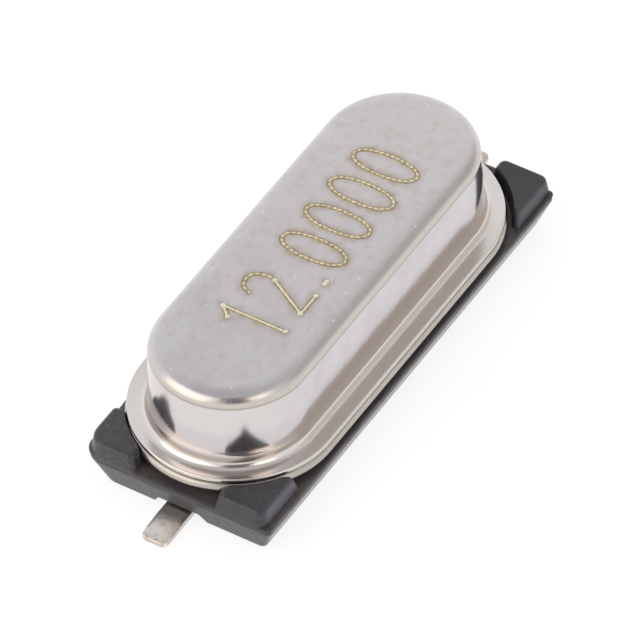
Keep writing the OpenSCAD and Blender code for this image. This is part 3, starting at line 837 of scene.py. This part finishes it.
# Bright nickel plate. The drawn wall is nearly a mirror, with faint upright lines from the die; the shoulder
# and top are satin from tumbling, softly clouded and stained, with specks of dust; straw brown heat tarnish
# rings the marking. The die's lines, the satin's grain and the dust are drawn coarser than they are, so that
# they show.
can_nickel, tree = new_material("drawn_nickel_plate")
place = add_node(tree, "ShaderNodeTexCoord").outputs["Object"]
wrap = add_node(tree, "ShaderNodeUVMap", uv_map="wrap")
along, across, height = add_node(tree, "ShaderNodeSeparateXYZ", {"Vector": place}).outputs
clouds = add_node(tree, "ShaderNodeTexNoise", {
    "Vector": place, "Scale": per_mm(0.8), "Detail": 6.0, "Roughness": 0.65,
})
blotch = add_node(tree, "ShaderNodeTexNoise", {"Vector": place, "Scale": per_mm(0.22), "Detail": 3.0})
grain = add_node(tree, "ShaderNodeTexNoise", {"Vector": place, "Scale": per_mm(0.045), "Detail": 3.0})
ripple = add_node(tree, "ShaderNodeTexNoise", {"Vector": place, "Scale": per_mm(0.9), "Detail": 2.0})
lines = add_node(tree, "ShaderNodeMapping", {"Vector": wrap, "Scale": (DIE_LINES, DIE_RUNS, 1.0)})
lines = add_node(tree, "ShaderNodeTexNoise", {"Vector": lines, "Scale": 1.0, "Detail": 3.0})

# The zones of the drawing: shoulder and top, the satin top alone, the pressed foot, the round ends.
shoulder = add_node(tree, "ShaderNodeMapRange", {
    "Value": height, "From Min": (shoulder_z - 0.01) * MM, "From Max": (shoulder_z + 0.06) * MM,
})
below_shoulder = add_node(tree, "ShaderNodeMath", {0: 1.0, 1: shoulder}, operation="SUBTRACT")
satin = add_node(tree, "ShaderNodeMapRange", {
    "Value": height, "From Min": (CAN_TOP_Z - 0.05) * MM, "From Max": (CAN_TOP_Z - 0.004) * MM,
})
pressed = add_node(tree, "ShaderNodeMapRange", {
    "Value": height, "From Min": (FLARE_Z + 0.13) * MM, "From Max": (FLARE_Z - 0.12) * MM,
})
ends = add_node(tree, "ShaderNodeMath", {0: along}, operation="ABSOLUTE")
ends = add_node(tree, "ShaderNodeMapRange", {"Value": ends, "From Min": 3.3 * MM, "From Max": 4.3 * MM})

# The top: painted light, lighter towards +X, and stained in blotches.
lit_far_top = add_node(tree, "ShaderNodeMapRange", {
    "Value": along, "From Min": -3.5 * MM, "From Max": 4.5 * MM, "To Max": 0.7,
})
lit_far_top = add_node(tree, "ShaderNodeMath", {0: lit_far_top, 1: satin}, operation="MULTIPLY")
stain = add_node(tree, "ShaderNodeMapRange", {
    "Value": blotch, "From Min": 0.5, "From Max": 0.75, "To Max": 0.4,
})
stain = add_node(tree, "ShaderNodeMath", {0: stain, 1: satin}, operation="MULTIPLY")

# The wall: burnished low down, with painted light high up on the ends and painted shade low down on their +Y
# side.
burnished = add_node(tree, "ShaderNodeMapRange", {
    "Value": height, "From Min": (FLARE_Z + 0.75) * MM, "From Max": (FLARE_Z + 0.35) * MM,
})
# Painted light: the ends are drawn lighter high up, below the shoulder.
high = add_node(tree, "ShaderNodeMapRange", {
    "Value": height, "From Min": (FLARE_Z + 0.48) * MM, "From Max": (FLARE_Z + 0.68) * MM, "To Max": 0.8,
})
upper = add_node(tree, "ShaderNodeMath", {0: high, 1: ends}, operation="MULTIPLY")
upper = add_node(tree, "ShaderNodeMath", {0: upper, 1: below_shoulder}, operation="MULTIPLY")
# Painted shade: the ends are drawn darker low down on their +Y side.
lower = add_node(tree, "ShaderNodeMath", {0: 0.8, 1: high}, operation="SUBTRACT")
foot = add_node(tree, "ShaderNodeMapRange", {
    "Value": height, "From Min": (FLANGE_Z + 0.06) * MM, "From Max": (FLANGE_Z + 0.12) * MM,
})
left = add_node(tree, "ShaderNodeMapRange", {"Value": across, "From Min": 0.6 * MM, "From Max": 1.1 * MM})
for share in (foot, left, ends):
    lower = add_node(tree, "ShaderNodeMath", {0: lower, 1: share}, operation="MULTIPLY")

# The flange: painted light on the ends, painted shade in the corner where the wall bends into it, sheared at
# its edge.
# Painted light: the flange is drawn lighter on the ends.
bright = add_node(tree, "ShaderNodeMapRange", {
    "Value": height, "From Min": (FLANGE_Z + 0.14) * MM, "From Max": (FLANGE_Z + 0.04) * MM,
})
bright = add_node(tree, "ShaderNodeMath", {0: bright, 1: ends}, operation="MULTIPLY")
# Painted shade: a darker band in the corner where the wall bends into the flange, on the ends.
corner = add_node(tree, "ShaderNodeMath", {0: height, 1: (FLANGE_Z + 0.185) * MM}, operation="SUBTRACT")
corner = add_node(tree, "ShaderNodeMath", {0: corner}, operation="ABSOLUTE")
corner = add_node(tree, "ShaderNodeMapRange", {
    "Value": corner, "From Min": 0.1 * MM, "From Max": 0.03 * MM, "To Max": 0.95,
})
corner = add_node(tree, "ShaderNodeMath", {0: corner, 1: ends}, operation="MULTIPLY")
sheared = add_node(tree, "ShaderNodeMapRange", {
    "Value": height, "From Min": (FLANGE_Z - 0.002) * MM, "From Max": (FLANGE_Z - 0.02) * MM,
})

# The shoulder: warmer low down, with a painted dark line where it leaves the wall, and painted shade where
# it rolls over along -Y.
# Warmer low on the shoulder.
warm_shoulder_band = add_node(tree, "ShaderNodeMapRange", {
    "Value": height, "From Min": (shoulder_z + 0.22) * MM, "From Max": (shoulder_z + 0.08) * MM,
})
warm_shoulder_band = add_node(tree, "ShaderNodeMath", {0: warm_shoulder_band, 1: shoulder}, operation="MULTIPLY")
# Painted shade: a thin dark line where the shoulder leaves the wall.
shoulder_shade_line = add_node(tree, "ShaderNodeMath", {0: height, 1: (shoulder_z + 0.01) * MM}, operation="SUBTRACT")
shoulder_shade_line = add_node(tree, "ShaderNodeMath", {0: shoulder_shade_line}, operation="ABSOLUTE")
shoulder_shade_line = add_node(tree, "ShaderNodeMapRange", {
    "Value": shoulder_shade_line, "From Min": 0.045 * MM, "From Max": 0.01 * MM, "To Max": 0.8,
})
# Painted shade: the shoulder is drawn darker where it rolls over along -Y.
dimmed = add_node(tree, "ShaderNodeMapRange", {
    "Value": across, "From Min": (0.28 - TOP_REACH) * MM, "From Max": (0.15 - TOP_REACH) * MM,
})
rolled = add_node(tree, "ShaderNodeMapRange", {
    "Value": height, "From Min": (shoulder_z + 0.1) * MM, "From Max": (shoulder_z + 0.19) * MM,
    "To Max": 0.36,
})
dimmed = add_node(tree, "ShaderNodeMath", {0: dimmed, 1: rolled}, operation="MULTIPLY")

# Heat tarnish round the marking, and specks of dust on the shoulder and top.
scorch = add_node(tree, "ShaderNodeAttribute", attribute_name="scorch").outputs["Fac"]
halo = add_node(tree, "ShaderNodeMath", {0: scorch, 1: 1.8}, operation="POWER")
patchy = add_node(tree, "ShaderNodeMapRange", {
    "Value": blotch, "From Min": 0.35, "From Max": 0.6, "To Min": 0.3, "To Max": 0.9,
})
halo = add_node(tree, "ShaderNodeMath", {0: halo, 1: patchy}, operation="MULTIPLY")
dust = add_node(tree, "ShaderNodeTexVoronoi", {"Vector": place, "Scale": per_mm(0.16)})
speck = add_node(tree, "ShaderNodeMapRange", {
    "Value": dust, "From Min": 0.12, "From Max": 0.2, "To Min": 1.0, "To Max": 0.0,
})
chosen = add_node(tree, "ShaderNodeSeparateColor", {"Color": dust.outputs["Color"]})
chosen = add_node(tree, "ShaderNodeMath", {0: chosen, 1: 0.92}, operation="GREATER_THAN")
speck = add_node(tree, "ShaderNodeMath", {0: speck, 1: chosen}, operation="MULTIPLY")
speck = add_node(tree, "ShaderNodeMath", {0: speck, 1: shoulder}, operation="MULTIPLY")
solid = add_node(tree, "ShaderNodeMath", {0: 1.0, 1: speck}, operation="SUBTRACT")

# The clouded plate, with every tint laid over the last.
cloudy = add_node(tree, "ShaderNodeMapRange", {"Value": clouds, "From Min": 0.36, "From Max": 0.64})
base = add_node(tree, "ShaderNodeMix", {
    "Factor": cloudy, "A": tone("#cac6c9"), "B": tone("#d3d0d4"),
}, data_type="RGBA")
for where, colour in (
    (lit_far_top, "#dcd5d6"), (stain, "#bdb4ab"), (burnished, "#cec9ca"), (pressed, "#dad4d0"),
    (bright, "#e2dcdb"), (upper, "#d9d3d3"), (lower, "#a69c93"), (corner, "#aea39a"), (sheared, "#d2ccc6"),
    (warm_shoulder_band, "#cac3ba"), (shoulder_shade_line, "#a9a198"), (halo, "#a08c6a"), (dimmed, "#aaa7a5"), (speck, "#e6e0d8"),
):
    base = add_node(tree, "ShaderNodeMix", {
        "Factor": where, "A": base, "B": tone(colour),
    }, data_type="RGBA")
dull_wall = add_node(tree, "ShaderNodeMapRange", {"Value": grain, "To Min": 0.11, "To Max": 0.18})
dull_flange = add_node(tree, "ShaderNodeMapRange", {"Value": clouds, "To Min": 0.12, "To Max": 0.26})
dull_shoulder = add_node(tree, "ShaderNodeMapRange", {"Value": grain, "To Min": 0.2, "To Max": 0.32})
dull_top = add_node(tree, "ShaderNodeMapRange", {"Value": clouds, "To Min": 0.28, "To Max": 0.42})
dull = add_node(tree, "ShaderNodeMix", {
    "Factor": pressed, "A": dull_wall, "B": dull_flange,
}, data_type="FLOAT")
dull = add_node(tree, "ShaderNodeMix", {
    "Factor": shoulder, "A": dull, "B": dull_shoulder,
}, data_type="FLOAT")
dull = add_node(tree, "ShaderNodeMix", {"Factor": satin, "A": dull, "B": dull_top}, data_type="FLOAT")
relief = add_node(tree, "ShaderNodeBump", {"Height": lines, "Strength": 0.05, "Distance": 0.004 * MM})
relief = add_node(tree, "ShaderNodeBump", {
    "Height": ripple, "Strength": 0.25, "Distance": 0.03 * MM, "Normal": relief,
})
relief = add_node(tree, "ShaderNodeBump", {
    "Height": grain, "Strength": 0.3, "Distance": 0.003 * MM, "Normal": relief,
})
surface = add_node(tree, "ShaderNodeBsdfPrincipled", {
    "Base Color": base, "Metallic": solid, "Roughness": dull, "Normal": relief,
})
add_node(tree, "ShaderNodeOutputMaterial", {"Surface": surface})

finish_piece(can, can_nickel, 50)
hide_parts("can")

# ---------------------------------------------------------------------------
# Marking
# A plain number, burnt into the can's top by a laser that pulses as it goes:
# each pulse leaves a bead of melted nickel with a straw-coloured oxide skin.
# ---------------------------------------------------------------------------

TRACK_WIDTH, TRACK_HEIGHT = 0.115, 0.006
BEAD_WIDTH, BEAD_LENGTH, BEAD_HEIGHT = 0.055, 0.115, 0.014
DOT_SIZE, DOT_HEIGHT = 0.125, 0.017
DOTTED_PACE = 0.1  # strokes burnt at a finer pace than this end in a dot, where the laser dwells

# Remelted nickel under a thin oxide: olive brown along the track, with a painted highlight of bright pale
# straw on the beads' crests.
burnt_nickel, tree = new_material("laser_burnt_nickel")
place = add_node(tree, "ShaderNodeTexCoord").outputs["Object"]
height = add_node(tree, "ShaderNodeSeparateXYZ", {"Vector": place}).outputs["Z"]
crest_highlight = add_node(tree, "ShaderNodeMapRange", {
    "Value": height, "From Min": (CAN_TOP_Z + 0.005) * MM, "From Max": (CAN_TOP_Z + 0.01) * MM,
})
mottle = add_node(tree, "ShaderNodeTexNoise", {"Vector": place, "Scale": per_mm(0.12), "Detail": 3.0})
oxide = add_node(tree, "ShaderNodeMapRange", {"Value": mottle, "From Min": 0.35, "From Max": 0.65})
track = add_node(tree, "ShaderNodeMix", {
    "Factor": oxide, "A": tone("#9c8c64"), "B": tone("#c0b18e"),
}, data_type="RGBA")
base = add_node(tree, "ShaderNodeMix", {
    "Factor": crest_highlight, "A": track, "B": tone("#f4ecd8"),
}, data_type="RGBA")
dull = add_node(tree, "ShaderNodeMapRange", {"Value": mottle, "To Min": 0.22, "To Max": 0.4})
surface = add_node(tree, "ShaderNodeBsdfPrincipled", {
    "Base Color": base, "Metallic": 1.0, "Roughness": dull,
})
add_node(tree, "ShaderNodeOutputMaterial", {"Surface": surface})

path = bmesh.new()
pace_layer = path.verts.layers.float.new("pace")
for points, closes, pace in strokes:
    verts = [path.verts.new((px, py, CAN_TOP_Z)) for px, py in points]
    for vert in verts:
        vert[pace_layer] = pace
    for start, end in zip(verts, verts[1:] + verts[:1] if closes else verts[1:]):
        path.edges.new((start, end))
marking_mesh = bpy.data.meshes.new("laser_marking")
path.to_mesh(marking_mesh)
path.free()
marking = bpy.data.objects.new("laser_marking", marking_mesh)
bpy.context.scene.collection.objects.link(marking)

beads = bpy.data.node_groups.new("laser_beads", "GeometryNodeTree")
beads.interface.new_socket("Geometry", in_out="INPUT", socket_type="NodeSocketGeometry")
for name in (
    "Track width", "Track height", "Bead length", "Bead width", "Bead height", "Dot size", "Dot height",
):
    beads.interface.new_socket(name, in_out="INPUT", socket_type="NodeSocketFloat")
beads.interface.new_socket("Seed", in_out="INPUT", socket_type="NodeSocketInt")
beads.interface.new_socket("Material", in_out="INPUT", socket_type="NodeSocketMaterial")
beads.interface.new_socket("Geometry", in_out="OUTPUT", socket_type="NodeSocketGeometry")
given = add_node(beads, "NodeGroupInput").outputs
curve = add_node(beads, "GeometryNodeMeshToCurve", {"Mesh": given["Geometry"]})
pace = add_node(beads, "GeometryNodeInputNamedAttribute", {"Name": "pace"}, data_type="FLOAT")
pulses = add_node(beads, "GeometryNodeResampleCurve", {"Curve": curve, "Length": pace}, mode="LENGTH")
tangent = add_node(beads, "GeometryNodeInputTangent")
facing = add_node(beads, "FunctionNodeAlignRotationToVector", {"Vector": tangent}, axis="X")
bead = add_node(beads, "GeometryNodeMeshUVSphere", {"Segments": 12, "Rings": 6, "Radius": 0.5})
size = add_node(beads, "ShaderNodeCombineXYZ", {
    "X": given["Bead length"], "Y": given["Bead width"], "Z": given["Bead height"],
})
vary = add_node(beads, "FunctionNodeRandomValue", {
    "Min": 0.88, "Max": 1.1, "Seed": given["Seed"],
}, data_type="FLOAT")
bead_size = add_node(beads, "ShaderNodeVectorMath", {0: size, "Scale": vary}, operation="SCALE")
bead_run = add_node(beads, "GeometryNodeInstanceOnPoints", {
    "Points": pulses, "Instance": bead, "Rotation": facing, "Scale": bead_size,
})
ends = add_node(beads, "GeometryNodeCurveEndpointSelection")
straight = add_node(beads, "FunctionNodeCompare", {
    0: pace, 1: DOTTED_PACE,
}, operation="LESS_THAN", data_type="FLOAT")
dotted = add_node(beads, "FunctionNodeBooleanMath", {0: ends, 1: straight}, operation="AND")
dot_size = add_node(beads, "ShaderNodeCombineXYZ", {
    "X": given["Dot size"], "Y": given["Dot size"], "Z": given["Dot height"],
})
dot_run = add_node(beads, "GeometryNodeInstanceOnPoints", {
    "Points": curve, "Selection": dotted, "Instance": bead, "Scale": dot_size,
})
level = add_node(beads, "GeometryNodeSetCurveNormal", {"Curve": curve}, mode="Z_UP")
ring = add_node(beads, "GeometryNodeCurvePrimitiveCircle", {"Resolution": 10, "Radius": 0.5})
ring_size = add_node(beads, "ShaderNodeCombineXYZ", {
    "X": given["Track width"], "Y": given["Track height"], "Z": 1.0,
})
ring = add_node(beads, "GeometryNodeTransform", {"Geometry": ring, "Scale": ring_size})
track = add_node(beads, "GeometryNodeCurveToMesh", {
    "Curve": level, "Profile Curve": ring, "Fill Caps": True,
})
every = add_node(beads, "GeometryNodeJoinGeometry", {"Geometry": bead_run})
for made in (dot_run, track):
    beads.links.new(made.outputs[0], every.inputs["Geometry"])
solid = add_node(beads, "GeometryNodeRealizeInstances", {"Geometry": every})
smooth = add_node(beads, "GeometryNodeSetShadeSmooth", {"Geometry": solid})
coated = add_node(beads, "GeometryNodeSetMaterial", {"Geometry": smooth, "Material": given["Material"]})
add_node(beads, "NodeGroupOutput", {"Geometry": coated})

melt = marking.modifiers.new("laser_beads", "NODES")
melt.node_group = beads
values = {
    "Track width": TRACK_WIDTH, "Track height": 2 * TRACK_HEIGHT,
    "Bead length": BEAD_LENGTH, "Bead width": BEAD_WIDTH, "Bead height": 2 * BEAD_HEIGHT,
    "Dot size": DOT_SIZE, "Dot height": 2 * DOT_HEIGHT,
    "Seed": 5, "Material": burnt_nickel,
}
for item in beads.interface.items_tree:
    if item.in_out == "INPUT" and item.name in values:
        melt[item.identifier] = values[item.name]
settle(marking)
finish_piece(marking, burnt_nickel, 180)

# ---------------------------------------------------------------------------
# Studio
# A pale floor under even light, with soft panels of cloth and card round the
# object that the bright metal mirrors.
# ---------------------------------------------------------------------------

FLOOR_HALF = 1.2  # metres, as the rest of the studio is
PANEL_DISTANCE = 0.26

# White paper: full white to the eye and in the metal, and still a surface that takes a soft shadow.
floor_paper, tree = new_material("white_paper_floor")
rays = add_node(tree, "ShaderNodeLightPath").outputs
seen = add_node(tree, "ShaderNodeMath", {
    0: rays["Is Camera Ray"], 1: rays["Is Glossy Ray"],
}, operation="MAXIMUM")
seen = add_node(tree, "ShaderNodeMath", {0: seen, 1: rays["Is Transmission Ray"]}, operation="MAXIMUM")
paper = add_node(tree, "ShaderNodeBsdfDiffuse", {"Color": (0.9, 0.9, 0.9, 1)})
glow = add_node(tree, "ShaderNodeEmission", {"Color": (1, 1, 1, 1), "Strength": 1.16})
white = add_node(tree, "ShaderNodeMixShader", {0: 0.72, 1: paper, 2: glow})
mixed = add_node(tree, "ShaderNodeMixShader", {0: seen, 1: paper, 2: white})
add_node(tree, "ShaderNodeOutputMaterial", {"Surface": mixed})

floor_mesh = bpy.data.meshes.new("floor")
floor_corners = [(FLOOR_HALF * i, FLOOR_HALF * j, 0) for i, j in ((-1, -1), (1, -1), (1, 1), (-1, 1))]
floor_mesh.from_pydata(floor_corners, [], [(0, 1, 2, 3)])
floor_mesh.materials.append(floor_paper)
floor = bpy.data.objects.new("floor", floor_mesh)
bpy.context.scene.collection.objects.link(floor)

# The room: white near the horizon, a quiet warm grey higher up.
world = bpy.data.worlds.new("studio_room")
bpy.context.scene.world = world
world.use_nodes = True
tree = world.node_tree
tree.nodes.clear()
way = add_node(tree, "ShaderNodeTexCoord").outputs["Generated"]
up = add_node(tree, "ShaderNodeSeparateXYZ", {"Vector": way}).outputs["Z"]
room = (1, 1, 1, 1)
for start, end, colour in ((0.15, 0.5, (0.88, 0.88, 0.875, 1)), (0.72, 0.95, (0.58, 0.575, 0.57, 1))):
    above = add_node(tree, "ShaderNodeMapRange", {
        "Value": up, "From Min": start, "From Max": end,
    }, interpolation_type="SMOOTHSTEP")
    room = add_node(tree, "ShaderNodeMix", {"Factor": above, "A": room, "B": colour}, data_type="RGBA")
glow = add_node(tree, "ShaderNodeBackground", {"Color": room, "Strength": 1.0})
add_node(tree, "ShaderNodeOutputWorld", {"Surface": glow})


def panel(name, azimuth, elevation, width, height, soft, colour, strength):
    """A glowing card facing the object, faded over a share of its edges; azimuth 0 is at -Y and 90 at +X."""
    a, e = math.radians(azimuth), math.radians(elevation)
    out = Vector((math.sin(a) * math.cos(e), -math.cos(a) * math.cos(e), math.sin(e)))
    across = Vector((math.cos(a), math.sin(a), 0))
    rise = out.cross(across).normalized() * -1
    half_width = PANEL_DISTANCE * math.tan(math.radians(width / 2))
    half_height = PANEL_DISTANCE * math.tan(math.radians(height / 2))
    centre = out * PANEL_DISTANCE
    turns = ((-1, -1), (1, -1), (1, 1), (-1, 1))
    corners = [centre + across * half_width * i + rise * half_height * j for i, j in turns]
    mesh = bpy.data.meshes.new(name)
    mesh.from_pydata(corners, [], [(0, 1, 2, 3)])
    spread = mesh.uv_layers.new(name="spread")
    for loop, place in zip(spread.data, ((0, 0), (1, 0), (1, 1), (0, 1))):
        loop.uv = place
    card, card_tree = new_material(name)
    spread = add_node(card_tree, "ShaderNodeUVMap", uv_map="spread")
    spread = add_node(card_tree, "ShaderNodeSeparateXYZ", {"Vector": spread})
    edges = []
    for axis in ("X", "Y"):
        off = add_node(card_tree, "ShaderNodeMath", {0: spread.outputs[axis], 1: 0.5}, operation="SUBTRACT")
        off = add_node(card_tree, "ShaderNodeMath", {0: off}, operation="ABSOLUTE")
        edges.append(add_node(card_tree, "ShaderNodeMapRange", {
            "Value": off, "From Min": 0.5, "From Max": 0.5 * (1 - soft),
        }, interpolation_type="SMOOTHSTEP"))
    filled = add_node(card_tree, "ShaderNodeMath", {0: edges[0], 1: edges[1]}, operation="MULTIPLY")
    light = add_node(card_tree, "ShaderNodeEmission", {"Color": tone(colour), "Strength": strength})
    clear = add_node(card_tree, "ShaderNodeBsdfTransparent")
    faded = add_node(card_tree, "ShaderNodeMixShader", {0: filled, 1: clear, 2: light})
    add_node(card_tree, "ShaderNodeOutputMaterial", {"Surface": faded})
    mesh.materials.append(card)
    made = bpy.data.objects.new(name, mesh)
    bpy.context.scene.collection.objects.link(made)
    made.visible_camera = False
    made.visible_shadow = False


panel("softbox_left", -118, 28, 60, 56, 0.28, "#fff6e8", 1.95)
panel("softbox_front", -24, 36, 26, 36, 0.3, "#fff3e0", 1.8)
panel("dark_side", -53, 37, 36, 54, 0.3, "#6a6764", 1.0)
panel("brown_card", 55, 30, 60, 50, 0.45, "#d9d3cb", 1.0)

# The camera: a long lens from above the left-hand end, which shows the far end nearly as large as the near
# one. Its middle line passes a little to the right of the can's middle, and below it.
AZIMUTH, ELEVATION, ROLL = math.radians(-56.8126), math.radians(45.7109), math.radians(-2.0193)
LENS, DISTANCE, MIDDLE_Z, AIM_RIGHT, AIM_BELOW = 544.0, 202.21, 2.0, 0.065, 0.796
level = Vector((math.sin(AZIMUTH), -math.cos(AZIMUTH), 0))
back = level * math.cos(ELEVATION) + Vector((0, 0, math.sin(ELEVATION)))
right = Vector((math.cos(AZIMUTH), math.sin(AZIMUTH), 0))
above_camera = back.cross(right)
side = right * math.cos(ROLL) + above_camera * math.sin(ROLL)
top = above_camera * math.cos(ROLL) - right * math.sin(ROLL)
lens = bpy.data.cameras.new("camera")
lens.sensor_width = 36
lens.lens = LENS
lens.clip_start, lens.clip_end = 0.01, 10
camera = bpy.data.objects.new("camera", lens)
bpy.context.scene.collection.objects.link(camera)
place = (Vector((0, 0, MIDDLE_Z)) + back * DISTANCE + side * AIM_RIGHT - top * AIM_BELOW) * MM
rows = [[*turn, shift] for turn, shift in zip(zip(side, top, back), place)]
camera.matrix_world = Matrix([*rows, [0, 0, 0, 1]])
bpy.context.scene.camera = camera
bpy.context.scene.view_settings.view_transform = "Standard"
